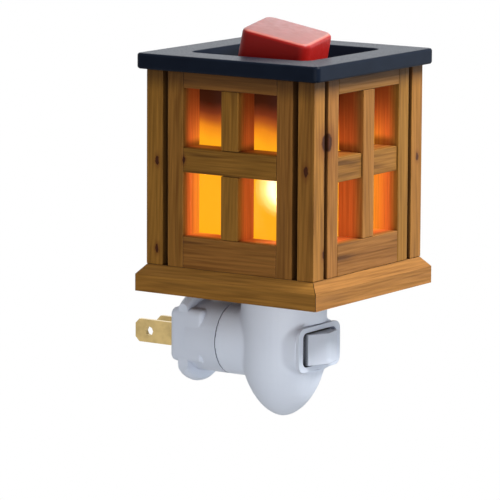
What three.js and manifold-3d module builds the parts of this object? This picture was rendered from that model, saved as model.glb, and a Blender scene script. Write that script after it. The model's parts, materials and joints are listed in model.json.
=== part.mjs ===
// Plug-in lantern fragrance warmer: a wooden lantern on a swivelling plug base with a rocker switch.
// Millimetres, +Z up, front towards -Y. The origin is the centre of the plug's back face.
import * as THREE from 'three';
import { mergeVertices } from 'three/addons/utils/BufferGeometryUtils.js';
import Module from 'manifold-3d';

const wasm = await Module();
wasm.setup();

// Shared clearances
const cutOverrun = 1;
const slipGap = 0.3;
const seatGap = 0.1;

// Where the lantern stands from the plug
const plugToLanternAxis = 39.2;
const plugToPlinth = 19.7;

// Lantern body
const bodyWidth = 66.6;
const plinthOverhang = 2.85;
const plinthHeight = 9.05;
const plinthEdgeHeight = 5.7;
const plinthTopInset = 2.9;
const mitreGap = 0.15;
const baseBoardThickness = 5;
const bodyTop = 74.8;
const postFace = 6.4;
const grooveWidth = 2.1;
const grooveDepth = 3;
const frameDepth = 9.8;
const stileWidth = 6.2;
const muntinWidth = 6.8;
const bottomRailHeight = 10.75;
const topRailHeight = 5.4;
const midRailHeight = 8.3;
const sideMidRailRise = 36.3;
const frontMidRailRise = 35.3;
const frontRailSetback = 0.6;
const paneThickness = 1.5;
const paneOverlap = 1.9;

// Dish and wax
const dishOverhang = 2.9;
const dishRimThickness = 5.3;
const dishCornerRadius = 1.4;
const dishEdgeRound = 0.8;
const dishWall = 2;
const dishFloor = 2;
const poolCornerRadius = 4;
const poolDepth = 8.3;
const poolFootRound = 1.6;
const poolWallSlopeShare = 0.45;
const waxTopWidth = 24.8;
const waxFootWidth = 25;
const waxHeight = 20;
const waxEdgeRound = 1.5;
const waxCornerRadius = 2.2;
const waxRise = 6.7;
const waxTurn = THREE.MathUtils.degToRad(12);
const waxLean = THREE.MathUtils.degToRad(13);
const waxTilt = THREE.MathUtils.degToRad(-2.4);
const waxShiftX = 0.2;
const waxShiftY = -0.6;

// Lamp housing under the lantern
const housingRadius = 14.6;
const housingWall = 2;
const noseDrop = 2.3;
const noseDepth = 22.4;
const nosePower = 1.8;
const neckRadius = 12.3;
const bossWidth = 25;
const bossHeight = 16.8;
const bossCornerRadius = 6;
const bossBack = 5;
const screwOffset = 11.2;
const screwPostRadius = 2.1;
const screwPostLength = 11;
const screwShankRadius = 0.95;
const screwHeadRadius = 2;
const screwHeadHeight = 1.4;
const screwReach = 8;
const screwSlotWidth = 0.6;
const screwSlotDepth = 0.6;

// Rocker switch
const switchRise = 0.5;
const bezelWidth = 25.4;
const bezelHeight = 15.1;
const bezelCornerRadius = 3;
const bezelFront = 14.5;
const bezelThickness = 1.2;
const bezelSideBand = 2.45;
const bezelTopBand = 1.7;
const caseCornerRadius = 3;
const caseWall = 0.8;
const caseFloor = 1;
const caseBack = 6.2;
const rockerPivot = 10;
const rockerHalfWidth = 7.9;
const rockerEdgeReach = 6.45;
const rockerRidgeReach = 9;
const rockerHeight = 10.6;
const rockerRidgeRadius = 1.2;
const rockerSkirtReach = 1.2;
const rockerSkirtInset = 0.9;
const rockerHubWidth = 4.8;
const rockerHubDepth = 2.2;
const rockerThrow = THREE.MathUtils.degToRad(8);
const rockerPinRadius = 0.9;
const terminalWidth = 4.2;
const terminalThickness = 0.8;
const terminalSpacing = 9;
const terminalTail = 5;
const terminalPad = 1.2;

// Socket and bulb
const socketRadius = 8.8;
const socketTop = 8.2;
const socketBottom = 11.2;
const socketFloor = 1.6;
const socketBoreRadius = 7.1;
const socketFlangeRadius = 15;
const socketFlangeThickness = 2;
const shellThickness = 0.5;
const shellHeight = 16;
const threadPitch = 2;
const threadDepth = 0.35;
const contactLift = 0.6;
const contactWidth = 3;
const contactLength = 9;
const bulbBaseRadius = 5.9;
const bulbTipRadius = 2.2;
const bulbTipHeight = 1.6;
const bulbBaseTop = 7.5;
const bulbNeckRadius = 5.4;
const bulbRadius = 11.3;
const bulbTop = 46;
const bulbWidestRise = 18;
const glassThickness = 0.7;

// Plug and swivel
const plugWidth = 23;
const plugHeight = 18.7;
const plugRise = 0.9;
const plugDepth = 13;
const plugCornerRadius = 2.6;
const plugEdgeRound = 1.6;
const edgeSteps = 3;
const flangeRadius = 16.3;
const flangeFlatWidth = 22.2;
const flangeBack = 3.2;
const flangeThickness = 4;
const flangeEdgeRound = 1.9;
const collarLength = 6;
const spigotRadius = 6.5;
const spigotEnd = 7;
const wireBoreRadius = 3.5;
const clipBack = 9.2;
const clipThickness = 1.2;
const clipRadius = 8;
const clipGrooveDepth = 1.4;
const clipMouthWidth = 6;
const faceplateWidth = 18.4;
const faceplateHeight = 12.6;
const faceplateThickness = 3;
const faceplateCornerRadius = 1.5;
const bladeSpacing = 12.7;
const bladeThickness = 1.5;
const bladeHeight = 6.35;
const wideBladeHeight = 7.95;
const bladeLength = 17.5;
const bladeRoot = 9;
const bladeTipTaper = 1.6;
const bladeHoleRadius = 1.6;
const bladeHoleReach = 11.7;

// Roundness
const fineSides = 40;
const smallSides = 20;
const arcSteps = 4;
const noseSteps = 11;
const cavitySteps = 6;
const bulbSteps = 7;

// Materials
const material = (color, roughness, metalness = 0) =>
  new THREE.MeshStandardMaterial({ color, roughness, metalness });
const wood = () => material(0xb98a4f, 0.6);
const darkWood = () => material(0x8f6637, 0.65);
const amber = () => {
  const pane = material(0xff9a2a, 0.4);
  pane.transparent = true;
  pane.opacity = 0.8;
  return pane;
};
const blackGlaze = () => material(0x1b222d, 0.35);
const redWax = () => material(0xb5382a, 0.5);
const whitePlastic = () => material(0xe9ebf0, 0.35);
const steel = () => material(0xb9bcc0, 0.3, 1);
const brass = () => material(0xc9a24c, 0.3, 1);
const clearGlass = () => {
  const glass = material(0xfff1d0, 0.1);
  glass.transparent = true;
  glass.opacity = 0.35;
  return glass;
};
const bakelite = () => material(0x2a2724, 0.5);

// Solid helpers
function toSolid(geometry) {
  const plain = geometry.clone();
  plain.deleteAttribute('normal');
  plain.deleteAttribute('uv');
  const merged = mergeVertices(plain);
  return new wasm.Manifold(new wasm.Mesh({
    numProp: 3,
    vertProperties: new Float32Array(merged.attributes.position.array),
    triVerts: new Uint32Array(merged.index.array),
  }));
}

function toGeometry(solid) {
  const mesh = solid.getMesh();
  const geometry = new THREE.BufferGeometry();
  geometry.setAttribute('position', new THREE.BufferAttribute(mesh.vertProperties, mesh.numProp));
  geometry.setIndex(new THREE.BufferAttribute(mesh.triVerts, 1));
  return geometry;
}

const cut = (solid, ...tools) => tools.reduce((rest, tool) => rest.subtract(tool), solid);
const join = (solid, ...others) => others.reduce((sum, other) => sum.add(other), solid);

function named(name, geometry, finish) {
  const mesh = new THREE.Mesh(geometry, finish);
  mesh.name = name;
  return mesh;
}

// Shape helpers
function blockBetween(low, high) {
  const size = high.map((value, axis) => value - low[axis]);
  const block = new THREE.BoxGeometry(...size);
  block.translate(...high.map((value, axis) => (value + low[axis]) / 2));
  return block;
}

function cylinderZ(radius, bottom, top, sides = smallSides) {
  const cylinder = new THREE.CylinderGeometry(radius, radius, top - bottom, sides);
  cylinder.rotateX(Math.PI / 2);
  cylinder.translate(0, 0, (top + bottom) / 2);
  return cylinder;
}

function cylinderY(radius, back, front, sides = fineSides) {
  const cylinder = new THREE.CylinderGeometry(radius, radius, back - front, sides);
  cylinder.translate(0, (back + front) / 2, 0);
  return cylinder;
}

// A revolve about Z from [radius, height] pairs, listed upwards along the outside
function turned(profile, sides = fineSides) {
  const points = profile.map(([radius, height]) => new THREE.Vector2(radius, height));
  const revolve = new THREE.LatheGeometry(points, sides);
  revolve.rotateX(Math.PI / 2);
  return revolve;
}

function outline(points) {
  return new THREE.Shape(points.map(([across, along]) => new THREE.Vector2(across, along)));
}

function roundedRectangle(width, height, radius) {
  const right = width / 2;
  const top = height / 2;
  const shape = new THREE.Shape();
  shape.moveTo(radius - right, -top);
  shape.lineTo(right - radius, -top);
  shape.absarc(right - radius, radius - top, radius, -Math.PI / 2, 0);
  shape.lineTo(right, top - radius);
  shape.absarc(right - radius, top - radius, radius, 0, Math.PI / 2);
  shape.lineTo(radius - right, top);
  shape.absarc(radius - right, top - radius, radius, Math.PI / 2, Math.PI);
  shape.lineTo(-right, radius - top);
  shape.absarc(radius - right, radius - top, radius, Math.PI, Math.PI * 1.5);
  return shape;
}

// An outline drawn in X and Y, extruded upwards
function raised(shape, bottom, top) {
  const solid = new THREE.ExtrudeGeometry(shape, {
    depth: top - bottom, bevelEnabled: false, curveSegments: arcSteps });
  solid.translate(0, 0, bottom);
  return solid;
}

// The same, with its top and bottom edges rounded over; the shape maker takes its width inset
function raisedRounded(shapeInset, bottom, top, edge) {
  const solid = new THREE.ExtrudeGeometry(shapeInset(edge), {
    depth: top - bottom - 2 * edge, bevelEnabled: true, bevelSize: edge, bevelThickness: edge,
    bevelSegments: edgeSteps, curveSegments: arcSteps });
  solid.translate(0, 0, bottom + edge);
  return solid;
}

// An outline drawn in X and Z, extruded along Y from its front to its back
function pushedBack(shape, front, back) {
  const solid = raised(shape, 0, back - front);
  solid.rotateX(Math.PI / 2);
  solid.translate(0, back, 0);
  return solid;
}

// An outline drawn in Y and Z, extruded along X about the middle
function drawnAcross(shape, length) {
  const solid = raised(shape, -length / 2, length / 2);
  solid.rotateX(Math.PI / 2);
  solid.rotateZ(Math.PI / 2);
  return solid;
}

// Scales a form's plan from full size at its top to a share of it at its bottom
function drawnIn(geometry, bottom, top, bottomShare) {
  const places = geometry.attributes.position;
  for (let index = 0; index < places.count; index += 1) {
    const fallShare = (top - places.getZ(index)) / (top - bottom);
    const spreadShare = 1 + (bottomShare - 1) * fallShare;
    places.setX(index, places.getX(index) * spreadShare);
    places.setY(index, places.getY(index) * spreadShare);
  }
  return geometry;
}

function moved(geometry, x, y, z) {
  geometry.translate(x, y, z);
  return geometry;
}

const finished = (name, solid, finish) => named(name, toGeometry(solid), finish);

// Lantern body
const bodyHalf = bodyWidth / 2;
const frameBackHalf = bodyHalf - frameDepth;
const paneFrontHalf = frameBackHalf - seatGap;
const paneBackHalf = paneFrontHalf - paneThickness;
const plinthHalf = bodyHalf + plinthOverhang;
const plinthInnerHalf = paneBackHalf - slipGap;
const postSize = postFace + grooveWidth;
const frameHalf = bodyHalf - postSize;
const railHalf = frameHalf - stileWidth;

function cornerPost(name) {
  const section = outline([
    [0, 0], [postFace, 0], [postFace, grooveDepth], [postSize, grooveDepth],
    [postSize, postSize], [grooveDepth, postSize], [grooveDepth, postFace], [0, postFace]]);
  const post = moved(raised(section, plinthHeight, bodyTop), -bodyHalf, -bodyHalf, 0);
  return named(name, post, wood());
}

// A bar along X with a half-depth notch at its middle, in its front or its back
function lappedBar(length, front, back, width, crossWidth, crossAt, notchInFront) {
  const middle = (front + back) / 2;
  const near = crossAt - crossWidth / 2 - seatGap;
  const far = crossAt + crossWidth / 2 + seatGap;
  const notchFloor = notchInFront ? middle + seatGap / 2 : middle - seatGap / 2;
  const notched = notchInFront ? front : back;
  const plain = notchInFront ? back : front;
  const section = outline([
    [-length / 2, notched], [near, notched], [near, notchFloor], [far, notchFloor],
    [far, notched], [length / 2, notched], [length / 2, plain], [-length / 2, plain]]);
  return raised(section, -width / 2, width / 2);
}

function windowFrame(face, railsInFront, midRailRise) {
  const frame = new THREE.Group();
  const front = -bodyHalf;
  const back = -frameBackHalf;
  const lightBottom = plinthHeight + bottomRailHeight;
  const lightTop = bodyTop - topRailHeight;
  const stile = (name, side) => {
    const outer = side * frameHalf;
    const inner = side * railHalf;
    const section = outline([
      [outer, front], [outer, -frameHalf - mitreGap], [side * (frameBackHalf - mitreGap), back],
      [inner, back], [inner, front]]);
    return named(`${face}_${name}_stile`, raised(section, plinthHeight, bodyTop), wood());
  };
  frame.add(stile('left', -1), stile('right', 1));
  const rail = (place, bottom, top) =>
    named(`${face}_${place}_rail`, blockBetween([-railHalf, front, bottom], [railHalf, back, top]), wood());
  frame.add(rail('bottom', plinthHeight, lightBottom));
  frame.add(rail('top', lightTop, bodyTop));
  const railFront = railsInFront ? front : front + frontRailSetback;
  const midRail = lappedBar(2 * railHalf, railFront, back, midRailHeight, muntinWidth, 0, !railsInFront);
  frame.add(named(`${face}_mid_rail`, moved(midRail, 0, 0, plinthHeight + midRailRise), wood()));
  const muntinLength = lightTop - lightBottom;
  const muntinMiddle = (lightTop + lightBottom) / 2;
  const crossing = plinthHeight + midRailRise - muntinMiddle;
  const muntin = lappedBar(
    muntinLength, front, back, muntinWidth, midRailHeight, crossing, railsInFront);
  muntin.rotateY(-Math.PI / 2);
  frame.add(named(`${face}_muntin`, moved(muntin, 0, 0, muntinMiddle), wood()));
  const paneHalf = paneBackHalf - slipGap;
  frame.add(named(`${face}_pane`, blockBetween(
    [-paneHalf, -paneFrontHalf, plinthHeight + seatGap],
    [paneHalf, -paneBackHalf, lightTop + paneOverlap]), amber()));
  return frame;
}

function plinthStrip(name) {
  const half = plinthHalf;
  const inner = plinthInnerHalf;
  const profile = outline([
    [-half, 0], [-inner, 0], [-inner, plinthHeight], [plinthTopInset - half, plinthHeight],
    [-half, plinthEdgeHeight]]);
  const plan = outline([
    [mitreGap - half, -half], [half - mitreGap, -half],
    [inner - mitreGap, -inner], [mitreGap - inner, -inner]]);
  const strip = toSolid(drawnAcross(profile, 2 * plinthHalf));
  const mitred = strip.intersect(toSolid(raised(plan, -cutOverrun, plinthHeight + cutOverrun)));
  return finished(name, mitred, darkWood());
}

function screwHole(side, bottom, top) {
  const hole = cylinderZ(screwShankRadius + slipGap, bottom, top);
  return toSolid(moved(hole, side * screwOffset, 0, 0));
}

function baseBoard() {
  const half = plinthInnerHalf - seatGap;
  const board = blockBetween([-half, -half, 0], [half, half, baseBoardThickness]);
  const low = -cutOverrun;
  const high = baseBoardThickness + cutOverrun;
  const socketHole = cylinderZ(socketRadius + slipGap, low, high, fineSides);
  return finished('base_board', cut(toSolid(board), toSolid(socketHole),
    screwHole(-1, low, high), screwHole(1, low, high)), darkWood());
}

// Dish and wax
const rimBottom = bodyTop + seatGap;
const rimTop = rimBottom + dishRimThickness;
const poolFloor = rimTop - poolDepth;

// Half the pan's width at a height: it drops into the frames and its walls draw in downwards
const panHalf = (height) => frameBackHalf - slipGap + poolWallSlopeShare * (height - bodyTop);

function meltDish() {
  const dishWidth = bodyWidth + 2 * dishOverhang;
  const rim = raisedRounded(
    (inset) => roundedRectangle(dishWidth - 2 * inset, dishWidth - 2 * inset, dishCornerRadius),
    rimBottom, rimTop, dishEdgeRound);
  const panWidth = 2 * panHalf(rimTop);
  const pan = raised(roundedRectangle(panWidth, panWidth, poolCornerRadius + dishWall),
    poolFloor - dishFloor, rimTop - dishEdgeRound);
  drawnIn(pan, poolFloor, rimTop, panHalf(poolFloor) / panHalf(rimTop));
  const poolHalf = panHalf(rimTop) - dishWall;
  const pool = raisedRounded(
    (inset) => roundedRectangle(2 * (poolHalf - inset), 2 * (poolHalf - inset), poolCornerRadius - inset),
    poolFloor, rimTop + poolFootRound + cutOverrun, poolFootRound);
  drawnIn(pool, poolFloor, rimTop, (panHalf(poolFloor) - dishWall) / poolHalf);
  return finished('melt_dish', cut(join(toSolid(rim), toSolid(pan)), toSolid(pool)), blackGlaze());
}

function waxMelt() {
  const block = raisedRounded(
    (inset) => roundedRectangle(waxTopWidth - 2 * inset, waxTopWidth - 2 * inset, waxCornerRadius),
    -waxHeight, 0, waxEdgeRound);
  drawnIn(block, -waxHeight, 0, waxFootWidth / waxTopWidth);
  block.rotateZ(waxTurn);
  block.rotateX(waxLean);
  block.rotateY(waxTilt);
  const wax = toSolid(moved(block, waxShiftX, waxShiftY, rimTop + waxRise));
  const under = blockBetween(
    [-waxFootWidth, -waxFootWidth, poolFloor - waxHeight],
    [waxFootWidth, waxFootWidth, poolFloor + slipGap]);
  return finished('wax_melt', cut(wax, toSolid(under)), redWax());
}

// Lamp housing
const swivelHeight = -plugToPlinth;
const neckBack = plugToLanternAxis - plugDepth - collarLength - slipGap;
const bezelBack = bezelFront - bezelThickness;
const switchHeight = swivelHeight + switchRise;
const caseHalfWidth = bezelWidth / 2 - bezelSideBand + caseWall;
const caseHalfHeight = bezelHeight / 2 - bezelTopBand + caseWall;

const caseOutline = (spare) => roundedRectangle(
  2 * (caseHalfWidth + spare), 2 * (caseHalfHeight + spare), caseCornerRadius + spare);

function teardrop(radius, depth, top, steps, sides) {
  const middle = swivelHeight - noseDrop;
  const profile = [];
  for (let step = 0; step <= steps; step += 1) {
    const angle = Math.PI / 2 * (1 - step / steps);
    const across = step === 0 ? 0 : Math.cos(angle) ** (2 / nosePower);
    profile.push([radius * across, middle - depth * Math.sin(angle) ** (2 / nosePower)]);
  }
  profile.push([radius, top], [0, top]);
  return toSolid(turned(profile, sides));
}

const atSwivel = (geometry) => toSolid(moved(geometry, 0, 0, swivelHeight));
const atSwitch = (geometry) => toSolid(moved(geometry, 0, 0, switchHeight));

function screwPost(side) {
  const post = cylinderZ(screwPostRadius, -screwPostLength, -seatGap);
  return toSolid(moved(post, side * screwOffset, 0, 0));
}

function lampHousing() {
  const outside = teardrop(housingRadius, noseDepth, -seatGap, noseSteps, fineSides);
  const neck = atSwivel(cylinderY(neckRadius, neckBack, 0));
  const bossFront = seatGap - bezelBack;
  const boss = atSwitch(pushedBack(
    roundedRectangle(bossWidth, bossHeight, bossCornerRadius), bossFront, -bossBack));
  const cavity = teardrop(
    housingRadius - housingWall, noseDepth - housingWall, cutOverrun, cavitySteps, smallSides);
  const beyond = -housingRadius - cutOverrun;
  const bezelSeat = atSwitch(pushedBack(roundedRectangle(
    bezelWidth + 2 * slipGap, bezelHeight + 2 * slipGap, bezelCornerRadius + slipGap), beyond, bossFront));
  const caseHole = atSwitch(pushedBack(caseOutline(slipGap), beyond, cutOverrun - bossBack));
  const neckBore = atSwivel(cylinderY(spigotRadius + slipGap, neckBack + cutOverrun, 0));
  const shell = cut(join(outside, neck, boss), cavity, bezelSeat, caseHole, neckBore);
  const holeBottom = -screwReach - cutOverrun;
  const posted = join(shell, screwPost(-1), screwPost(1));
  return finished('lamp_housing', cut(posted,
    screwHole(-1, holeBottom, cutOverrun), screwHole(1, holeBottom, cutOverrun)), whitePlastic());
}

function housingScrew(name, side) {
  const seat = baseBoardThickness + seatGap + socketFlangeThickness + seatGap;
  const shank = cylinderZ(screwShankRadius, -screwReach, seat + screwHeadHeight / 2, smallSides);
  const head = cylinderZ(screwHeadRadius, seat, seat + screwHeadHeight, smallSides);
  const slot = blockBetween(
    [-screwHeadRadius - cutOverrun, -screwSlotWidth / 2, seat + screwHeadHeight - screwSlotDepth],
    [screwHeadRadius + cutOverrun, screwSlotWidth / 2, seat + screwHeadHeight + cutOverrun]);
  const screw = toGeometry(cut(join(toSolid(shank), toSolid(head)), toSolid(slot)));
  return named(name, moved(screw, side * screwOffset, 0, 0), steel());
}

// Socket and bulb
const socketFloorTop = socketFloor - socketBottom;

function lampSocket() {
  const flangeBottom = baseBoardThickness + seatGap;
  const body = toSolid(turned([
    [0, -socketBottom], [socketRadius, -socketBottom], [socketRadius, flangeBottom],
    [socketFlangeRadius, flangeBottom], [socketFlangeRadius, flangeBottom + socketFlangeThickness],
    [socketRadius, flangeBottom + socketFlangeThickness], [socketRadius, socketTop],
    [socketBoreRadius, socketTop], [socketBoreRadius, socketFloorTop], [0, socketFloorTop]], smallSides));
  return finished('lamp_socket', cut(body,
    screwHole(-1, 0, socketTop), screwHole(1, 0, socketTop)), bakelite());
}

function socketShell() {
  const outer = socketBoreRadius - slipGap;
  const inner = outer - shellThickness;
  const bottom = socketFloorTop + seatGap;
  const top = bottom + shellHeight;
  return named('socket_shell', turned([
    [inner, bottom], [outer, bottom], [outer, top], [inner, top], [inner, bottom]], smallSides), brass());
}

function socketContact() {
  const bottom = socketFloorTop + seatGap;
  return named('socket_contact', blockBetween(
    [-contactLength / 2, -contactWidth / 2, bottom],
    [contactLength / 2, contactWidth / 2, bottom + contactLift]), brass());
}

function bulbBase() {
  const tipBottom = socketFloorTop + seatGap + contactLift + slipGap;
  const shoulder = tipBottom + bulbTipHeight;
  const profile = [[0, tipBottom], [bulbTipRadius, tipBottom], [bulbTipRadius, shoulder]];
  const turns = Math.floor((bulbBaseTop - shoulder) / threadPitch);
  for (let turn = 0; turn < turns; turn += 1) {
    const start = shoulder + turn * threadPitch;
    profile.push([bulbBaseRadius - threadDepth, start]);
    profile.push([bulbBaseRadius, start + threadPitch / 2]);
  }
  profile.push([bulbBaseRadius - threadDepth, bulbBaseTop], [0, bulbBaseTop]);
  return named('bulb_base', turned(profile, smallSides), brass());
}

// The bulb's outline from its neck to its tip, set in by the glass
function bulbOutline(inset) {
  const neck = bulbBaseTop + slipGap;
  const widest = neck + bulbWidestRise;
  const points = [];
  for (let step = 0; step < bulbSteps; step += 1) {
    const share = step / bulbSteps;
    const swell = (1 - Math.cos(Math.PI * share)) / 2;
    points.push([bulbNeckRadius - inset + (bulbRadius - bulbNeckRadius) * swell,
      neck + bulbWidestRise * share]);
  }
  for (let step = 0; step <= bulbSteps; step += 1) {
    const angle = Math.PI / 2 * step / bulbSteps;
    const across = step === bulbSteps ? 0 : Math.cos(angle);
    points.push([(bulbRadius - inset) * across, widest + (bulbTop - inset - widest) * Math.sin(angle)]);
  }
  return points;
}

function bulbGlass() {
  const profile = [...bulbOutline(glassThickness).reverse(), ...bulbOutline(0)];
  return named('bulb_glass', turned(profile, smallSides), clearGlass());
}

// Rocker switch, in the swivel's height
function switchCase() {
  const bezel = pushedBack(
    roundedRectangle(bezelWidth, bezelHeight, bezelCornerRadius), -bezelFront, -bezelBack);
  const tub = pushedBack(caseOutline(0), -bezelFront + bezelThickness / 2, -caseBack);
  const well = pushedBack(caseOutline(-caseWall), -bezelFront - cutOverrun, -caseBack - caseFloor);
  const pinHole = moved(cylinderZ(rockerPinRadius + slipGap, -bezelHeight, bezelHeight), 0, -rockerPivot, 0);
  const slots = [-1, 1].map((side) => toSolid(moved(blockBetween(
    [-terminalThickness / 2 - slipGap, -caseBack - caseFloor - cutOverrun, -terminalWidth / 2 - slipGap],
    [terminalThickness / 2 + slipGap, -caseBack + cutOverrun, terminalWidth / 2 + slipGap]),
  side * terminalSpacing / 2, 0, 0)));
  return finished('switch_case', cut(join(toSolid(bezel), toSolid(tub)), toSolid(well),
    toSolid(pinHole), ...slots), whitePlastic());
}

function rocker() {
  const slope = (rockerRidgeReach - rockerEdgeReach) / rockerHalfWidth;
  const crest = rockerRidgeRadius * slope - rockerRidgeReach;
  const skirtHalf = rockerHalfWidth - rockerSkirtInset;
  const hubHalf = rockerHubWidth / 2;
  const section = new THREE.Shape();
  section.moveTo(-rockerHalfWidth, -rockerEdgeReach);
  section.lineTo(-rockerRidgeRadius, crest);
  section.quadraticCurveTo(0, -rockerRidgeReach, rockerRidgeRadius, crest);
  section.lineTo(rockerHalfWidth, -rockerEdgeReach);
  section.lineTo(skirtHalf, -rockerSkirtReach);
  section.lineTo(hubHalf, -rockerSkirtReach);
  section.lineTo(hubHalf, rockerHubDepth);
  section.lineTo(-hubHalf, rockerHubDepth);
  section.lineTo(-hubHalf, -rockerSkirtReach);
  section.lineTo(-skirtHalf, -rockerSkirtReach);
  const bore = new THREE.Path();
  bore.absarc(0, 0, rockerPinRadius + slipGap, 0, 2 * Math.PI);
  section.holes.push(bore);
  const mesh = named('switch_rocker', raised(section, -rockerHeight / 2, rockerHeight / 2), whitePlastic());
  mesh.position.set(0, -rockerPivot, 0);
  mesh.rotation.z = -rockerThrow;
  return mesh;
}

function rockerPin() {
  const half = caseHalfHeight;
  return named('rocker_pin', moved(cylinderZ(rockerPinRadius, -half, half), 0, -rockerPivot, 0), steel());
}

function switchTerminal(name, side) {
  const strip = blockBetween(
    [-terminalThickness / 2, -caseBack - caseFloor - terminalPad, -terminalWidth / 2],
    [terminalThickness / 2, terminalTail - caseBack, terminalWidth / 2]);
  return named(name, moved(strip, side * terminalSpacing / 2, 0, 0), brass());
}

// Plug and swivel
function bladeSlot(side, height, front, back) {
  const half = bladeThickness / 2 + slipGap;
  const reach = height / 2 + slipGap;
  return toSolid(moved(blockBetween([-half, front, -reach], [half, back, reach]),
    side * bladeSpacing / 2, 0, 0));
}

function plugBody() {
  const block = raisedRounded((inset) => roundedRectangle(
    plugWidth - 2 * inset, plugHeight - 2 * inset, plugCornerRadius - inset), 0, plugDepth, plugEdgeRound);
  block.rotateX(Math.PI / 2);
  block.translate(0, 0, plugRise);
  const rim = [];
  for (let step = 0; step <= edgeSteps; step += 1) {
    const angle = Math.PI / 2 * step / edgeSteps;
    const inset = flangeEdgeRound * (1 - Math.sin(angle));
    rim.push([flangeRadius - inset, flangeEdgeRound * (1 - Math.cos(angle))]);
  }
  const farRim = rim.map(([radius, height]) => [radius, flangeThickness - height]).reverse();
  const flange = new THREE.LatheGeometry([[0, 0], ...rim, ...farRim, [0, flangeThickness]].map(
    ([radius, height]) => new THREE.Vector2(radius, height)), fineSides);
  flange.translate(0, -flangeBack - flangeThickness, 0);
  const flats = blockBetween(
    [-flangeFlatWidth / 2, -flangeBack - flangeThickness - cutOverrun, -flangeRadius - cutOverrun],
    [flangeFlatWidth / 2, cutOverrun - flangeBack, flangeRadius + cutOverrun]);
  const collarFront = -plugDepth - collarLength;
  const collar = cylinderY(neckRadius, -plugDepth / 2, collarFront);
  const spigotFront = spigotEnd - plugToLanternAxis;
  const spigot = cylinderY(spigotRadius, -plugDepth / 2, spigotFront);
  const pocket = pushedBack(roundedRectangle(
    faceplateWidth + 2 * slipGap, faceplateHeight + 2 * slipGap, faceplateCornerRadius + slipGap),
  -faceplateThickness - slipGap, cutOverrun);
  const wireBore = cylinderY(wireBoreRadius, 0, spigotFront - cutOverrun, smallSides);
  const grooveBack = clipBack - plugToLanternAxis + slipGap;
  const grooveFront = grooveBack - clipThickness - 2 * slipGap;
  const grooveRing = cut(
    toSolid(cylinderY(spigotRadius + cutOverrun, grooveBack, grooveFront)),
    toSolid(cylinderY(spigotRadius - clipGrooveDepth, grooveBack + cutOverrun, grooveFront - cutOverrun)));
  const slotFront = -bladeRoot - slipGap;
  const solid = cut(
    join(toSolid(block), toSolid(flange).intersect(toSolid(flats)), toSolid(collar), toSolid(spigot)),
    toSolid(pocket), toSolid(wireBore), grooveRing,
    bladeSlot(-1, wideBladeHeight, slotFront, 0), bladeSlot(1, bladeHeight, slotFront, 0));
  return finished('plug_body', solid, whitePlastic());
}

function plugFaceplate() {
  const plate = pushedBack(
    roundedRectangle(faceplateWidth, faceplateHeight, faceplateCornerRadius), -faceplateThickness, 0);
  const through = -faceplateThickness - cutOverrun;
  return finished('plug_faceplate', cut(toSolid(plate),
    bladeSlot(-1, wideBladeHeight, through, cutOverrun),
    bladeSlot(1, bladeHeight, through, cutOverrun)), whitePlastic());
}

function plugBlade(name, side, height) {
  const half = height / 2;
  const shape = outline([
    [-bladeRoot, -half], [bladeLength - bladeTipTaper, -half], [bladeLength, bladeTipTaper - half],
    [bladeLength, half - bladeTipTaper], [bladeLength - bladeTipTaper, half], [-bladeRoot, half]]);
  const hole = new THREE.Path();
  hole.absarc(bladeHoleReach, 0, bladeHoleRadius, 0, 2 * Math.PI);
  shape.holes.push(hole);
  const blade = moved(drawnAcross(shape, bladeThickness), side * bladeSpacing / 2, 0, 0);
  return named(name, blade, brass());
}

function swivelClip() {
  const back = clipBack - plugToLanternAxis;
  const front = back - clipThickness;
  const inner = spigotRadius - clipGrooveDepth + slipGap;
  const mouth = blockBetween([-clipMouthWidth / 2, front - cutOverrun, -clipRadius - cutOverrun],
    [clipMouthWidth / 2, back + cutOverrun, 0]);
  return finished('swivel_clip', cut(toSolid(cylinderY(clipRadius, back, front)),
    toSolid(cylinderY(inner, back + cutOverrun, front - cutOverrun)), toSolid(mouth)), steel());
}

// Assembly
const warmer = new THREE.Group();
warmer.add(plugBody(), plugFaceplate(), swivelClip());
warmer.add(plugBlade('neutral_blade', -1, wideBladeHeight), plugBlade('live_blade', 1, bladeHeight));

const lantern = new THREE.Group();
lantern.position.set(0, -plugToLanternAxis, plugToPlinth);
warmer.add(lantern);

const corners = ['front_left', 'front_right', 'back_right', 'back_left'];
corners.forEach((corner, quarter) => {
  const post = cornerPost(`${corner}_post`);
  post.rotation.z = quarter * Math.PI / 2;
  lantern.add(post);
});

const faces = ['front', 'right', 'back', 'left'];
faces.forEach((face, quarter) => {
  const onSide = quarter % 2 === 1;
  const frame = windowFrame(face, onSide, onSide ? sideMidRailRise : frontMidRailRise);
  const strip = plinthStrip(`${face}_plinth_strip`);
  frame.rotation.z = quarter * Math.PI / 2;
  strip.rotation.z = quarter * Math.PI / 2;
  lantern.add(frame, strip);
});

lantern.add(baseBoard(), meltDish(), waxMelt(), lampHousing());
lantern.add(housingScrew('left_housing_screw', -1), housingScrew('right_housing_screw', 1));
lantern.add(lampSocket(), socketShell(), socketContact(), bulbBase(), bulbGlass());

const switchGroup = new THREE.Group();
switchGroup.position.set(0, 0, switchHeight);
switchGroup.add(switchCase(), rocker(), rockerPin());
switchGroup.add(switchTerminal('live_terminal', 1), switchTerminal('load_terminal', -1));
lantern.add(switchGroup);

export default warmer;
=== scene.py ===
"""Looks of the plug-in lantern fragrance warmer: pieces, materials, light and camera round the frame."""
import json
import math

import bmesh
import bpy
from mathutils import Matrix, Vector


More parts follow.
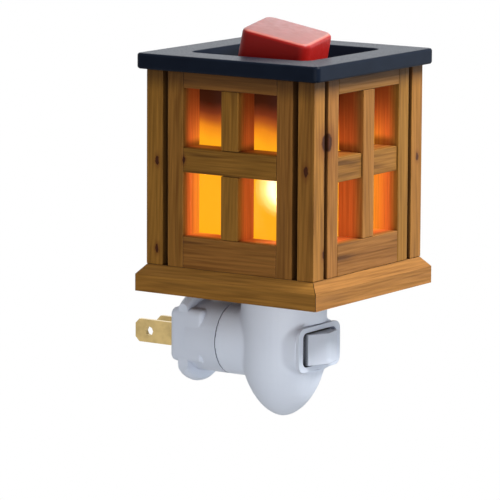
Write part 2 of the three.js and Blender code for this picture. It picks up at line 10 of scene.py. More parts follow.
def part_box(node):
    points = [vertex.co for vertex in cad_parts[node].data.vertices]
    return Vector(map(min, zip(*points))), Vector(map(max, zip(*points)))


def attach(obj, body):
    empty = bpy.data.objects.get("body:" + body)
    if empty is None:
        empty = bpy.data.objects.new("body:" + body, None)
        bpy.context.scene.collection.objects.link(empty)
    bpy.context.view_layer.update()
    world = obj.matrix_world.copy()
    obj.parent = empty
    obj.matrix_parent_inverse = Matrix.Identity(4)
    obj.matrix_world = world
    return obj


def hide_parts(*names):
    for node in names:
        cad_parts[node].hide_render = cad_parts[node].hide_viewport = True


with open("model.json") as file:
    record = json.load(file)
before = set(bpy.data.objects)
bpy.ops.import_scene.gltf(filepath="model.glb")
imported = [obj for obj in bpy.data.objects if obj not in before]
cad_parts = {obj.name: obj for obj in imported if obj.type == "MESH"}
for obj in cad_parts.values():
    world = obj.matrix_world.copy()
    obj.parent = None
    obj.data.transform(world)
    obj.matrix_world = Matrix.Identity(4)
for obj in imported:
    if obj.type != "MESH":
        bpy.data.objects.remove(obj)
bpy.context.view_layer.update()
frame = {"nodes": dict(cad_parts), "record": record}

nodes = frame["nodes"]
behaviour = frame["record"]["behaviour"]
body_of = {member: body for body, members in behaviour["bodies"].items() for member in members}
slot_of = {part["node"]: part["material_slot"] for part in frame["record"]["subparts"]}

MM = 0.001

# Places on the lantern, from the frame
dish_low, dish_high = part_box("melt_dish")
lantern_axis_y = (dish_low.y + dish_high.y) / 2
plinth_under_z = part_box("front_plinth_strip")[0].z
lantern_base = Vector((0.0, lantern_axis_y, plinth_under_z))
body_half = -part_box("front_left_post")[0].x
window_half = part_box("front_right_stile")[0].x
front_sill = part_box("front_mid_rail")[1].z - plinth_under_z
left_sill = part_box("left_mid_rail")[1].z - plinth_under_z


# Shader node helpers
def rgb(red, green, blue):
    return (red, green, blue, 1.0)


def feed(tree, made, values):
    """Links or sets the named inputs of a node."""
    for name, value in values.items():
        socket = made.inputs[name]
        if isinstance(value, bpy.types.NodeSocket):
            tree.links.new(value, socket)
        else:
            socket.default_value = value


def node(tree, kind, values=None, **settings):
    made = tree.nodes.new(kind)
    for name, value in settings.items():
        setattr(made, name, value)
    feed(tree, made, values or {})
    return made


def math_node(tree, operation, *values):
    return node(tree, "ShaderNodeMath", dict(enumerate(values)), operation=operation).outputs[0]


def product(tree, first, *others):
    for other in others:
        first = math_node(tree, "MULTIPLY", first, other)
    return first


def vector_math(tree, operation, values, output=0):
    return node(tree, "ShaderNodeVectorMath", values, operation=operation).outputs[output]


def separated(tree, vector):
    return node(tree, "ShaderNodeSeparateXYZ", {0: vector}).outputs


def combined(tree, red, green, blue):
    return node(tree, "ShaderNodeCombineColor", {0: red, 1: green, 2: blue}).outputs[0]


def mixed(tree, share, first, second, blend="MIX"):
    made = node(tree, "ShaderNodeMix", {0: share, 6: first, 7: second}, data_type="RGBA", blend_type=blend)
    return made.outputs[2]


def mixed_shaders(tree, share, first, second):
    return node(tree, "ShaderNodeMixShader", {0: share, 1: first, 2: second}).outputs[0]


def ramp(tree, value, stops):
    made = node(tree, "ShaderNodeValToRGB", {0: value})
    made.color_ramp.elements[0].position = stops[0][0]
    made.color_ramp.elements[0].color = stops[0][1]
    made.color_ramp.elements[1].position = stops[-1][0]
    made.color_ramp.elements[1].color = stops[-1][1]
    for place, colour in stops[1:-1]:
        made.color_ramp.elements.new(place).color = colour
    return made.outputs[0]


def spread(tree, value, span, reach=(0.0, 1.0), course="SMOOTHSTEP"):
    """A value's way through a span, told from the first to the second value of the reach."""
    made = node(tree, "ShaderNodeMapRange", {
        "Value": value, "From Min": span[0], "From Max": span[1], "To Min": reach[0], "To Max": reach[1]},
        interpolation_type=course)
    return made.outputs[0]


def noise(tree, place, look, output=0):
    return node(tree, "ShaderNodeTexNoise", {"Vector": place, **look}).outputs[output]


def object_place(tree):
    return node(tree, "ShaderNodeTexCoord").outputs["Object"]


def stretched(tree, place, scale, shift=(0.0, 0.0, 0.0)):
    return node(tree, "ShaderNodeMapping", {"Vector": place, "Location": shift, "Scale": scale}).outputs[0]


def bumped(tree, height, relief):
    return node(tree, "ShaderNodeBump", {"Height": height, **relief}).outputs[0]


def openness(tree, distance):
    """How open a surface is to the air round it, 1 on a free face and less in a crevice."""
    made = node(tree, "ShaderNodeAmbientOcclusion", {"Distance": distance}, samples=crevice_rays)
    return made.outputs["AO"]


def surface(name):
    made = bpy.data.materials.new(name)
    made.use_nodes = True
    tree = made.node_tree
    return made, tree, tree.nodes["Principled BSDF"]


black = rgb(0.0, 0.0, 0.0)
white = rgb(1.0, 1.0, 1.0)
whole = (0.0, 1.0)
noise_span = (0.3, 0.7)
crevice_rays = 8

# Knots in the wood
knots = [
    # Face, and in millimetres: place from its middle, height above the plinth's underside, half width,
    # depth and half height
    ("front", -25.6, 54.2, 2.6, 3.0, 2.7),
    ("left", -30.2, 45.3, 0.7, 2.0, 1.6),
    ("left", 29.1, 44.4, 0.6, 2.0, 1.3),
    ("left", 29.1, 14.7, 0.6, 2.0, 1.2),
    ("left", 18.2, 45.3, 0.5, 2.0, 1.0),
    ("front", -26.8, 17.4, 0.8, 2.0, 1.2),
    ("front", 30.5, 43.7, 0.6, 2.0, 1.1),
    ("front", 26.0, 71.7, 0.5, 2.0, 0.9),
]
knot_edge_noise = {"Scale": 900.0, "Detail": 2.0}
noise_middle = (0.5, 0.5, 0.5)
knot_wander = 1.2 * MM
knot_span = (1.5, 0.4)
knot_edge_span = (0.0, 0.35)
knot_stops = [
    (0.0, rgb(0.065, 0.018, 0.004)),
    (0.6, rgb(0.030, 0.008, 0.002)),
    (1.0, rgb(0.050, 0.012, 0.003)),
]
halo_span = (3.2, 1.0)
halo_shares = (0.0, 0.6)
halo_brown = rgb(0.13, 0.040, 0.009)


def knot_sizes(face, along, up, half_width, depth, half_height):
    """Middle and half sizes of a knot on the front or the left face."""
    if face == "front":
        middle = Vector((along * MM, -body_half, up * MM))
        half = Vector((half_width, depth, half_height))
    else:
        middle = Vector((-body_half, along * MM, up * MM))
        half = Vector((depth, half_width, half_height))
    return lantern_base + middle, MM * half


def knot_distance(tree, place):
    """Distance to the nearest knot in its own half sizes, with an uneven edge."""
    uneven = noise(tree, place, knot_edge_noise, "Color")
    centred = vector_math(tree, "SUBTRACT", {0: uneven, 1: noise_middle})
    wander = vector_math(tree, "SCALE", {0: centred, "Scale": knot_wander})
    moved = vector_math(tree, "ADD", {0: place, 1: wander})
    distances = []
    for knot in knots:
        middle, half = knot_sizes(*knot)
        offset = vector_math(tree, "SUBTRACT", {0: moved, 1: middle})
        scaled = vector_math(tree, "DIVIDE", {0: offset, 1: half})
        distances.append(vector_math(tree, "LENGTH", {0: scaled}, "Value"))
    nearest = distances[0]
    for distance in distances[1:]:
        nearest = math_node(tree, "MINIMUM", nearest, distance)
    return nearest


def knotted(tree, place, plain):
    distance = knot_distance(tree, place)
    haloed = mixed(tree, spread(tree, distance, halo_span, halo_shares), plain, halo_brown)
    knot = spread(tree, distance, knot_span)
    return mixed(tree, spread(tree, knot, knot_edge_span), haloed, ramp(tree, knot, knot_stops))


# Painted lamp light in the window reveals: depths behind the faces, places from a face's middle, and heights
# above the plinth's underside
reveal_slack = 0.2 * MM
reveal_fade = 0.15 * MM
reveal_depths = (0.6 * MM, 5.0 * MM)
foot_heights = (9.0 * MM, 11.0 * MM)
far_places = (4.0 * MM, 17.0 * MM)
far_shares = (0.52, 1.08)
low_heights = (69.0 * MM, 47.0 * MM)
low_shares = (0.14, 1.0)
sill_start_drops = (0.6 * MM, 0.1 * MM)
sill_end_rises = (3.0 * MM, 0.3 * MM)
sill_dark_share = 0.75
hot_depths = (3.5 * MM, 9.5 * MM)
hot_places = (9.0 * MM, 17.0 * MM)
hot_heights = (64.0 * MM, 44.0 * MM)


def lamp_light(tree, place):
    """Where lamp light is painted on the wood, how strongly, and where the painted light is hottest."""
    local = vector_math(tree, "SUBTRACT", {0: place, 1: lantern_base})
    sides = separated(tree, local)
    height = sides[2]
    across = math_node(tree, "ABSOLUTE", sides[0])
    along = math_node(tree, "ABSOLUTE", sides[1])
    beside = math_node(tree, "MINIMUM", across, along)
    depth = math_node(tree, "SUBTRACT", body_half, math_node(tree, "MAXIMUM", across, along))
    reveal_edge = window_half + reveal_slack
    inside = spread(tree, beside, (reveal_edge, reveal_edge - reveal_fade))
    window = product(tree, spread(tree, depth, reveal_depths), inside, spread(tree, height, foot_heights))
    sill_start = [front_sill - drop for drop in sill_start_drops]
    sill_end = [left_sill + rise for rise in sill_end_rises]
    on_sill = product(tree, spread(tree, height, sill_start), spread(tree, height, sill_end))
    reveal = product(tree, window, math_node(tree, "MULTIPLY_ADD", on_sill, -sill_dark_share, 1.0))
    far = spread(tree, beside, far_places, far_shares)
    low = spread(tree, height, low_heights, low_shares)
    hot_side = product(tree, spread(tree, depth, hot_depths), spread(tree, beside, hot_places))
    return reveal, product(tree, far, low), product(tree, hot_side, spread(tree, height, hot_heights))


# Figure of one board
board_shift = (0.37, 0.23, 0.41)
grain_share = 0.06
fibre_share = 0.35
bend_noise = {"Scale": 90.0, "Detail": 3.0, "Roughness": 0.55}
ring_bend = (0.004, 0.004, 0.004)
ring_wave = {"Scale": 300.0, "Distortion": 3.0, "Detail": 3.0, "Detail Scale": 1.6, "Detail Roughness": 0.6}
ring_share = 0.17
tone_noise = {"Scale": 190.0, "Detail": 5.0, "Roughness": 0.66, "Distortion": 0.5}
figure_shares = (0.2, 0.45, 0.8)
streak_shift = (0.31, 0.12, 0.07)
streak_noise = {"Scale": 330.0, "Detail": 2.0}
streak_span = (0.54, 0.70)
streak_brown = rgb(0.085, 0.034, 0.008)
fibre_noise = {"Scale": 1500.0, "Detail": 3.0, "Roughness": 0.7}
fibre_span = (0.32, 0.62)
fibre_shares = (0.70, 1.08)
fibre_weight_share = 0.75
pore_noise = {"Scale": 3200.0, "Detail": 2.0, "Roughness": 0.6}
pore_share = 0.5
tint_floor_share = 0.86
tint_range_share = 0.24
hue_turns = 7.31
green_shares = (0.96, 1.05)
blue_shares = (1.12, 0.86)


def grain_scale(grain, along_share):
    return tuple(along_share if axis == grain else 1.0 for axis in "XYZ")


def board_figure(tree, place, grain, timber, streak_share):
    """A board's colour, with the fineness of its fibres and the height of their relief."""
    random_value = node(tree, "ShaderNodeObjectInfo").outputs["Random"]
    shift = vector_math(tree, "SCALE", {0: board_shift, "Scale": random_value})
    shifted = vector_math(tree, "ADD", {0: place, 1: shift})
    along = stretched(tree, shifted, grain_scale(grain, grain_share))
    bend = vector_math(tree, "SCALE", {0: ring_bend, "Scale": noise(tree, along, bend_noise)})
    bent = vector_math(tree, "ADD", {0: along, 1: bend})
    rings = node(tree, "ShaderNodeTexWave", {"Vector": bent, **ring_wave}, wave_type="BANDS",
                 bands_direction="DIAGONAL", wave_profile="SIN").outputs[1]
    tone = product(tree, noise(tree, along, tone_noise), 1.0 - ring_share)
    figure = math_node(tree, "MULTIPLY_ADD", rings, ring_share, tone)
    plain = ramp(tree, figure, list(zip(figure_shares, timber)))
    streak = noise(tree, stretched(tree, along, (1.0, 1.0, 1.0), streak_shift), streak_noise)
    streaked = mixed(tree, spread(tree, streak, streak_span, (0.0, streak_share)), plain, streak_brown)
    fibre_place = stretched(tree, shifted, grain_scale(grain, grain_share * fibre_share))
    fibres = noise(tree, fibre_place, fibre_noise)
    fine = spread(tree, fibres, fibre_span, fibre_shares)
    grained = mixed(tree, fibre_weight_share, streaked, combined(tree, fine, fine, fine), "MULTIPLY")
    tint = math_node(tree, "MULTIPLY_ADD", random_value, tint_range_share, tint_floor_share)
    hue = math_node(tree, "FRACT", product(tree, random_value, hue_turns))
    green = product(tree, tint, spread(tree, hue, whole, green_shares))
    blue = product(tree, tint, spread(tree, hue, whole, blue_shares))
    tinted = mixed(tree, 1.0, grained, combined(tree, tint, green, blue), "MULTIPLY")
    pores = product(tree, noise(tree, fibre_place, pore_noise), pore_share)
    return tinted, fibres, fine, math_node(tree, "ADD", fibres, pores)


# Wood
# Painted shade under the dish's overhang, darkening the top of the woodwork
dish_shade_heights = (66.5 * MM, 73.5 * MM)
dish_shade_shares = (0.0, 0.7)
dish_shade_brown = rgb(0.035, 0.016, 0.006)
# Painted shade in the wood's crevices and recesses, from an ambient-occlusion node
wood_crevice = 5.0 * MM
wood_shade_span = (0.2, 0.8)
wood_shade_shares = (0.85, 0.0)
wood_shade_brown = rgb(0.030, 0.012, 0.005)
# Painted lamp light in the reveals: a red cast in the colour and a glow
painted_cast_share = 0.8
painted_cast_red = rgb(0.16, 0.022, 0.004)
painted_glow_red = rgb(0.64, 0.108, 0.018)
painted_glow_amber = rgb(0.82, 0.235, 0.018)
wood_roughness = (0.62, 0.46)
wood_relief = {"Strength": 0.35, "Distance": 0.12 * MM}


def wood(name, grain, timber, streak_share):
    made, tree, shader = surface(name)
    place = object_place(tree)
    board, fibres, fine, relief = board_figure(tree, place, grain, timber, streak_share)
    # Painted shade under the dish
    dish_shade_span = [plinth_under_z + height for height in dish_shade_heights]
    dish_shade = spread(tree, separated(tree, place)[2], dish_shade_span, dish_shade_shares)
    dish_shaded = mixed(tree, dish_shade, board, dish_shade_brown)
    # Painted shade in crevices
    wood_crevice_shade = spread(tree, openness(tree, wood_crevice), wood_shade_span, wood_shade_shares)
    wood_crevice_shaded = mixed(tree, wood_crevice_shade, knotted(tree, place, dish_shaded), wood_shade_brown)
    # Painted lamp light in the window reveals, as a red cast and a glow
    reveal, strength, hot = lamp_light(tree, place)
    painted_glow = mixed(tree, hot, painted_glow_red, painted_glow_amber)
    feed(tree, shader, {
        "Base Color": mixed(tree, product(tree, reveal, painted_cast_share), wood_crevice_shaded, painted_cast_red),
        "Emission Color": mixed(tree, product(tree, reveal, strength, fine), black, painted_glow),
        "Emission Strength": 1.0,
        "Roughness": spread(tree, fibres, noise_span, wood_roughness),
        "Normal": bumped(tree, relief, wood_relief),
        "Specular IOR Level": 0.1,
    })
    return made


# Dark, middle and light tone of each timber
honey = (rgb(0.15, 0.058, 0.010), rgb(0.245, 0.107, 0.021), rgb(0.325, 0.148, 0.032))
plinth_honey = (rgb(0.19, 0.078, 0.014), rgb(0.285, 0.127, 0.026), rgb(0.36, 0.165, 0.036))
board_honey = (rgb(0.12, 0.06, 0.02), honey[0], honey[1])
rail_streak_share = 0.85
upright_streak_share = 0.5
plinth_streak_share = 0.3
rail_wood = {grain: wood(f"rail_wood_{grain.lower()}", grain, honey, rail_streak_share) for grain in "XY"}
upright_wood = wood("upright_wood", "Z", honey, upright_streak_share)
plinth_wood = {
    grain: wood(f"plinth_wood_{grain.lower()}", grain, plinth_honey, plinth_streak_share) for grain in "XY"}
board_wood = wood("board_wood", "X", board_honey, upright_streak_share)


# Glaze of the dish
def glazed_black():
    made, tree, shader = surface("black_glaze")
    place = object_place(tree)
    stops = [(0.3, rgb(0.004, 0.007, 0.015)), (0.75, rgb(0.006, 0.010, 0.020))]
    roughness = (0.3, 0.42)
    relief = {"Strength": 0.25, "Distance": 0.06 * MM}
    cloud = noise(tree, place, {"Scale": 120.0, "Detail": 4.0})
    speck = noise(tree, place, {"Scale": 2600.0, "Detail": 2.0})
    feed(tree, shader, {
        "Base Color": ramp(tree, cloud, stops),
        "Roughness": spread(tree, speck, noise_span, roughness),
        "Normal": bumped(tree, speck, relief),
        "Specular IOR Level": 0.04,
    })
    return made


# Wax, with a pale bloom on top and a painted highlight along its top edges
def red_wax():
    made, tree, shader = surface("red_wax")
    place = object_place(tree)
    side_red = rgb(0.29, 0.008, 0.006)
    bloom_pink = rgb(0.275, 0.13, 0.125)
    edge_highlight_pink = rgb(0.60, 0.24, 0.20)
    top_span = (0.55, 0.97)
    bloom_span = (0.1, 0.6)
    bloom_shares = (0.7, 1.0)
    edge_highlight_start = (0.45, 0.75)
    edge_highlight_end = (0.97, 0.85)
    edge_share = 0.55
    roughness = (0.32, 0.5)
    scatter_depth = 2.0 * MM
    relief = {"Strength": 0.3, "Distance": 0.3 * MM}
    upward = separated(tree, node(tree, "ShaderNodeNewGeometry").outputs["Normal"])[2]
    bloom = noise(tree, place, {"Scale": 260.0, "Detail": 5.0, "Roughness": 0.6})
    top = product(tree, spread(tree, upward, top_span), spread(tree, bloom, bloom_span, bloom_shares))
    # Painted highlight along the rounded top edges
    edge = product(tree, spread(tree, upward, edge_highlight_start), spread(tree, upward, edge_highlight_end), edge_share)
    dent = noise(tree, place, {"Scale": 420.0, "Detail": 3.0})
    feed(tree, shader, {
        "Base Color": mixed(tree, edge, mixed(tree, top, side_red, bloom_pink), edge_highlight_pink),
        "Subsurface Weight": 0.25,
        "Subsurface Radius": (1.0, 0.12, 0.08),
        "Subsurface Scale": scatter_depth,
        "Specular IOR Level": 0.15,
        "Roughness": spread(tree, bloom, noise_span, roughness),
        "Normal": bumped(tree, dent, relief),
    })
    return made


# White plastic
plastic_white = (0.75, 0.82, 0.965)
plastic_bright = (0.775, 0.845, 0.985)
# Painted shade in the plastic's crevices and under the plinth, from an ambient-occlusion node
plastic_crevice = 14.0 * MM
plastic_shade_span = (0.04, 0.70)
plastic_shade_grey = rgb(0.24, 0.26, 0.35)


def moulded_white(name, painted_shade_share, deep=plastic_shade_grey, darkened=None):
    """A white plastic darkened by a given share as painted shade, with painted shade in deep crevices and
    perhaps over an area darkened by a function.
    """
    made, tree, shader = surface(name)
    place = object_place(tree)
    tones = [rgb(*(painted_shade_share * value for value in colour)) for colour in (plastic_white, plastic_bright)]
    roughness = (0.42, 0.52)
    scatter_depth = 1.0 * MM
    relief = {"Strength": 0.12, "Distance": 0.04 * MM}
    cloud = noise(tree, place, {"Scale": 60.0, "Detail": 3.0})
    grain = noise(tree, place, {"Scale": 4200.0, "Detail": 2.0})
    colour = ramp(tree, cloud, list(zip(noise_span, tones)))
    # Painted shade in crevices
    shaded = mixed(tree, spread(tree, openness(tree, plastic_crevice), plastic_shade_span), deep, colour)
    feed(tree, shader, {
        "Base Color": darkened(tree, place, shaded) if darkened else shaded,
        "Roughness": spread(tree, grain, noise_span, roughness),
        "Specular IOR Level": 0.35,
        "Normal": bumped(tree, grain, relief),
        "Subsurface Weight": 0.08,
        "Subsurface Radius": (1.0, 1.0, 1.0),
        "Subsurface Scale": scatter_depth,
    })
    return made


# Painted shade in the well round the rocker
well_shade_black = rgb(0.02, 0.022, 0.03)
well_reach = 1.0 * MM
well_fade = 0.2 * MM
well_start = 0.5 * MM
well_end = 1.1 * MM


def rocker_well(tree, place, plain):
    """Painted shade in the unlit well round the rocker, from just behind the case's face."""
    low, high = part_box("switch_rocker")
    front_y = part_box("switch_case")[0].y
    middle = (low + high) / 2
    reach = (high - low) / 2 + Vector((well_reach, 0.0, well_reach))
    sides = separated(tree, place)
    across = math_node(tree, "ABSOLUTE", math_node(tree, "SUBTRACT", sides[0], middle.x))
    up = math_node(tree, "ABSOLUTE", math_node(tree, "SUBTRACT", sides[2], middle.z))
    beside = spread(tree, across, (reach.x, reach.x - well_fade))
    within = spread(tree, up, (reach.z, reach.z - well_fade))
    deep = spread(tree, sides[1], (front_y + well_start, front_y + well_end))
    return mixed(tree, product(tree, beside, within, deep), plain, well_shade_black)


# Metals and black plastic
def metal(name, colour, roughness):
    made, tree, shader = surface(name)
    place = object_place(tree)
    brush_scale = (1.0, 0.05, 1.0)
    brush_noise = {"Scale": 3800.0, "Detail": 3.0, "Roughness": 0.6}
    stain_span = (0.35, 0.75)
    stain_share = 0.72
    relief = {"Strength": 0.15, "Distance": 0.04 * MM}
    brush = noise(tree, stretched(tree, place, brush_scale), brush_noise)
    stain = noise(tree, place, {"Scale": 220.0, "Detail": 4.0})
    dull = rgb(*(value * stain_share for value in colour[:3]))
    feed(tree, shader, {
        "Base Color": mixed(tree, spread(tree, stain, stain_span), colour, dull),
        "Metallic": 1.0,
        "Roughness": spread(tree, brush, noise_span, roughness),
        "Normal": bumped(tree, brush, relief),
    })
    return made


def moulded_black():
    made, tree, shader = surface("moulded_black")
    cloud = noise(tree, object_place(tree), {"Scale": 300.0, "Detail": 4.0})
    tones = (rgb(0.012, 0.011, 0.010), rgb(0.024, 0.021, 0.018))
    roughness = (0.4, 0.55)
    feed(tree, shader, {
        "Base Color": ramp(tree, cloud, list(zip(noise_span, tones))),
        "Roughness": spread(tree, cloud, noise_span, roughness),
    })
    return made


# Glowing panes, with the lamp's light painted on as a glow and painted shade towards the top
pane_glow = [
    # Height on the lantern in millimetres and colour
    (9.0, rgb(0.88, 0.31, 0.006)),
    (20.0, rgb(0.93, 0.45, 0.012)),
    (51.0, rgb(0.90, 0.42, 0.012)),
    (56.0, rgb(0.80, 0.27, 0.012)),
    (59.0, rgb(0.44, 0.10, 0.014)),
    (61.5, rgb(0.19, 0.034, 0.010)),
    (65.0, rgb(0.045, 0.009, 0.003)),
    (73.0, rgb(0.009, 0.003, 0.001)),
]
pane_wobble = 7.0 * MM
top_shade_heights = (52.0 * MM, 64.0 * MM)
pane_clear_share = 0.28


def amber_pane():
    made, tree, shader = surface("amber_pane")
    place = object_place(tree)
    warm_amber = rgb(0.30, 0.06, 0.01)
    top_shade_amber = rgb(0.03, 0.008, 0.003)
    clear_tint = rgb(1.0, 0.87, 0.68)
    top_shade_tint = rgb(0.16, 0.02, 0.01)
    relief = {"Strength": 0.2, "Distance": 0.06 * MM}
    cloud = noise(tree, place, {"Scale": 70.0, "Detail": 2.0})
    height = math_node(tree, "MULTIPLY_ADD", cloud, pane_wobble, separated(tree, place)[2])
    under = plinth_under_z + pane_wobble / 2
    low = pane_glow[0][0]
    high = pane_glow[-1][0]
    glowing = spread(tree, height, (under + low * MM, under + high * MM), whole, "LINEAR")
    glow_stops = [((at - low) / (high - low), tone) for at, tone in pane_glow]
    # Painted shade towards the top of the pane, in its colour and its clear tint
    top_shade = spread(tree, height, [under + rise for rise in top_shade_heights], whole, "LINEAR")
    grain = noise(tree, place, {"Scale": 900.0, "Detail": 2.0})
    feed(tree, shader, {
        "Base Color": mixed(tree, top_shade, warm_amber, top_shade_amber),
        "Roughness": 0.3,
        "Emission Color": ramp(tree, glowing, glow_stops),
        "Emission Strength": 1.0,
        "Normal": bumped(tree, grain, relief),
        "Specular IOR Level": 0.08,
    })
    clear = node(tree, "ShaderNodeBsdfTransparent", {0: mixed(tree, top_shade, clear_tint, top_shade_tint)})
    through = mixed_shaders(tree, pane_clear_share, shader.outputs[0], clear.outputs[0])
    feed(tree, tree.nodes["Material Output"], {"Surface": through})
    return made


# The lit bulb
filament_white = rgb(1.0, 0.92, 0.80)


def lamp_glow(name, strength):
    made = bpy.data.materials.new(name)
    made.use_nodes = True
    tree = made.node_tree
    tree.nodes.clear()
    clear = node(tree, "ShaderNodeBsdfTransparent", {0: white})
    glow = node(tree, "ShaderNodeEmission", {"Color": filament_white, "Strength": strength})
    node(tree, "ShaderNodeOutputMaterial", {"Surface": clear.outputs[0], "Volume": glow.outputs[0]})
    return made


def lit_bulb():
    made, tree, shader = surface("lit_bulb")
    cloud = noise(tree, object_place(tree), {"Scale": 200.0, "Detail": 2.0})
    clear_tint = rgb(1.0, 0.98, 0.94)
    cloud_span = (0.2, 0.8)
    roughness = (0.08, 0.16)
    edge_share = 0.12
    feed(tree, shader, {
        "Base Color": rgb(0.9, 0.85, 0.75),
        "Roughness": spread(tree, cloud, cloud_span, roughness),
    })
    clear = node(tree, "ShaderNodeBsdfTransparent", {0: clear_tint})
    edge = node(tree, "ShaderNodeFresnel", {"IOR": 1.45})
    faint = product(tree, edge.outputs[0], edge_share)
    both = mixed_shaders(tree, faint, clear.outputs[0], shader.outputs[0])
    feed(tree, tree.nodes["Material Output"], {"Surface": both})
    return made


# Which piece has which material
steel_grey = rgb(0.62, 0.63, 0.65)
steel_roughness = (0.2, 0.34)
brass_yellow = rgb(0.60, 0.44, 0.19)
brass_roughness = (0.28, 0.42)
# Painted shade: the plug, the case and the rocker are darker copies of the one white plastic
plug_shade_share = 0.90
case_shade_share = 0.90
rocker_shade_share = 0.76
# Painted shade in the crevices round the rocker, near black
rocker_crevice_shade = rgb(0.01, 0.012, 0.02)
finish_of_slot = {
    "dish_glaze": glazed_black(),
    "wax": red_wax(),
    "white_plastic": moulded_white("moulded_white", 1.0),
    "steel": metal("plated_steel", steel_grey, steel_roughness),
    "brass": metal("plated_brass", brass_yellow, brass_roughness),
    "socket_black": moulded_black(),
    "amber_pane": amber_pane(),
    "bulb_glass": lit_bulb(),
}
plug_white = moulded_white("plug_white", plug_shade_share)
own_finish = {
    "switch_case": moulded_white("case_white", case_shade_share, darkened=rocker_well),
    "switch_rocker": moulded_white("rocker_white", rocker_shade_share, rocker_crevice_shade),
    "plug_body": plug_white,
    "plug_faceplate": plug_white,
    "base_board": board_wood,
}


def finish_for(name):
    slot = slot_of[name]
    side_grain = "X" if name.startswith(("front", "back")) else "Y"
    if name in own_finish:
        return own_finish[name]
    if slot == "plinth_wood":
        return plinth_wood[side_grain]
    if slot == "lantern_wood":
        return rail_wood[side_grain] if name.endswith("rail") else upright_wood
    return finish_of_slot[slot]


# Mesh helpers
merge_distance = 0.002 * MM
flat_angle = math.radians(0.5)
mitre_slack = 0.3 * MM
sharp_angle = math.radians(30.0)
smooth_angle = math.radians(40.0)
dish_smooth_angle = math.radians(50.0)
round_smooth_angle = math.radians(60.0)
plain_smooth_angle = math.radians(32.0)
round_profile_share = 0.5
smoothing_share = 0.5


def add_piece(name, made, material, body, replaced=(), smooth=None):
    mesh = bpy.data.meshes.new(name)
    made.to_mesh(mesh)
    made.free()
    piece = bpy.data.objects.new(name, mesh)
    bpy.context.scene.collection.objects.link(piece)
    mesh.materials.append(material)
    if smooth is not None:
        mesh.shade_smooth()
        mesh.set_sharp_from_angle(angle=smooth)
    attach(piece, body)
    if replaced:
        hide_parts(*replaced)
    return piece


def solid_of(name):
    made = bmesh.new()
    made.from_mesh(nodes[name].data)
    bmesh.ops.remove_doubles(made, verts=made.verts, dist=merge_distance)
    bmesh.ops.dissolve_limit(made, angle_limit=flat_angle, verts=made.verts, edges=made.edges)
    return made


def shown(name, made, smooth):
    return add_piece(f"{name}_shown", made, finish_for(name), body_of[name], (name,), smooth)


def on_mitre(edge):
    """Whether an edge lies in a plane where two strips of the lantern meet at 45 degrees."""
    return all(abs(abs(vert.co.x) - abs(vert.co.y - lantern_axis_y)) < mitre_slack for vert in edge.verts)


def eased(name, width, steps=3, smooth=smooth_angle, shaped=None):
    """A solid with rounded edges, perhaps shaped by a function first."""
    made = solid_of(name)
    if shaped:
        shaped(made)
    made.normal_update()
    sharp = [edge for edge in made.edges
             if edge.is_manifold and edge.calc_face_angle(0.0) > sharp_angle and not on_mitre(edge)]
    bmesh.ops.bevel(made, geom=sharp, offset=width, segments=steps, profile=round_profile_share,
                    affect="EDGES", clamp_overlap=True)
    even = shown(name, made, smooth).modifiers.new("even shading", "WEIGHTED_NORMAL")
    even.keep_sharp = True


# Lantern woodwork
wood_edge = 0.35 * MM
plinth_edge = 0.9 * MM
for name in nodes:
    if slot_of[name] == "lantern_wood":
        eased(name, wood_edge)
    elif slot_of[name] == "plinth_wood":
        eased(name, plinth_edge, steps=4)

# The lamp housing, with its corners flowed together
housing_voxel = 0.45 * MM
housing_rounds = 7
boss_from_axis = 12.0 * MM
neck_held = 1.2 * MM
neck_end_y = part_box("lamp_housing")[1].y


def flowed(name, voxel, rounds, held):
    """A solid remeshed and smoothed, apart from the places that are held."""
    rough = solid_of(name)
    mesh = bpy.data.meshes.new("rough")
    rough.to_mesh(mesh)
    rough.free()
    carrier = bpy.data.objects.new("rough", mesh)
    bpy.context.scene.collection.objects.link(carrier)
    remesh = carrier.modifiers.new("remesh", "REMESH")
    remesh.mode = "VOXEL"
    remesh.voxel_size = voxel
    made = bmesh.new()
    made.from_object(carrier, bpy.context.evaluated_depsgraph_get())
    bpy.data.objects.remove(carrier)
    free = [vert for vert in made.verts if not held(vert.co)]
    for _ in range(rounds):
        bmesh.ops.smooth_vert(made, verts=free, factor=smoothing_share, use_axis_x=True, use_axis_y=True,
                              use_axis_z=True)
    shown(name, made, round_smooth_angle)


def boss_or_neck_end(place):
    return place.y < lantern_axis_y - boss_from_axis or place.y > neck_end_y - neck_held


flowed("lamp_housing", housing_voxel, housing_rounds, boss_or_neck_end)

# The switch and the plug
plastic_edge = 0.3 * MM
paddle_share = 0.94
skirt_rise = 4.2 * MM
skirt_reach = 9.1 * MM
skirt_side_share = 0.6
skirt_depth_share = 0.5
rock = next(joint for joint in behaviour["joints"] if joint["name"] == "switch_rock")
rock_middle = math.radians(rock["range_deg"][1] / 2)


def skirted(made):
    """Narrows the rocker's paddle, and flares its ends below it so that little gap is left beside them."""
    level = Matrix.Rotation(rock_middle, 4, "Z") @ Matrix.Translation(-Vector(rock["pos_m"]))
    made.transform(level)
    bmesh.ops.scale(made, verts=made.verts, vec=(paddle_share, 1.0, 1.0))
    everything = list(made.verts) + list(made.edges) + list(made.faces)
    bmesh.ops.bisect_plane(made, geom=everything, plane_co=(0.0, -skirt_rise, 0.0), plane_no=(0.0, 1.0, 0.0))
    for vert in made.verts:
        at_end = abs(vert.co.x) > skirt_side_share * skirt_reach
        if at_end and vert.co.y > -skirt_depth_share * skirt_rise:
            vert.co.x = math.copysign(skirt_reach, vert.co.x)
    made.transform(level.inverted())


for name in ("switch_case", "plug_faceplate", "plug_body"):
    eased(name, plastic_edge)
eased("switch_rocker", plastic_edge, shaped=skirted)

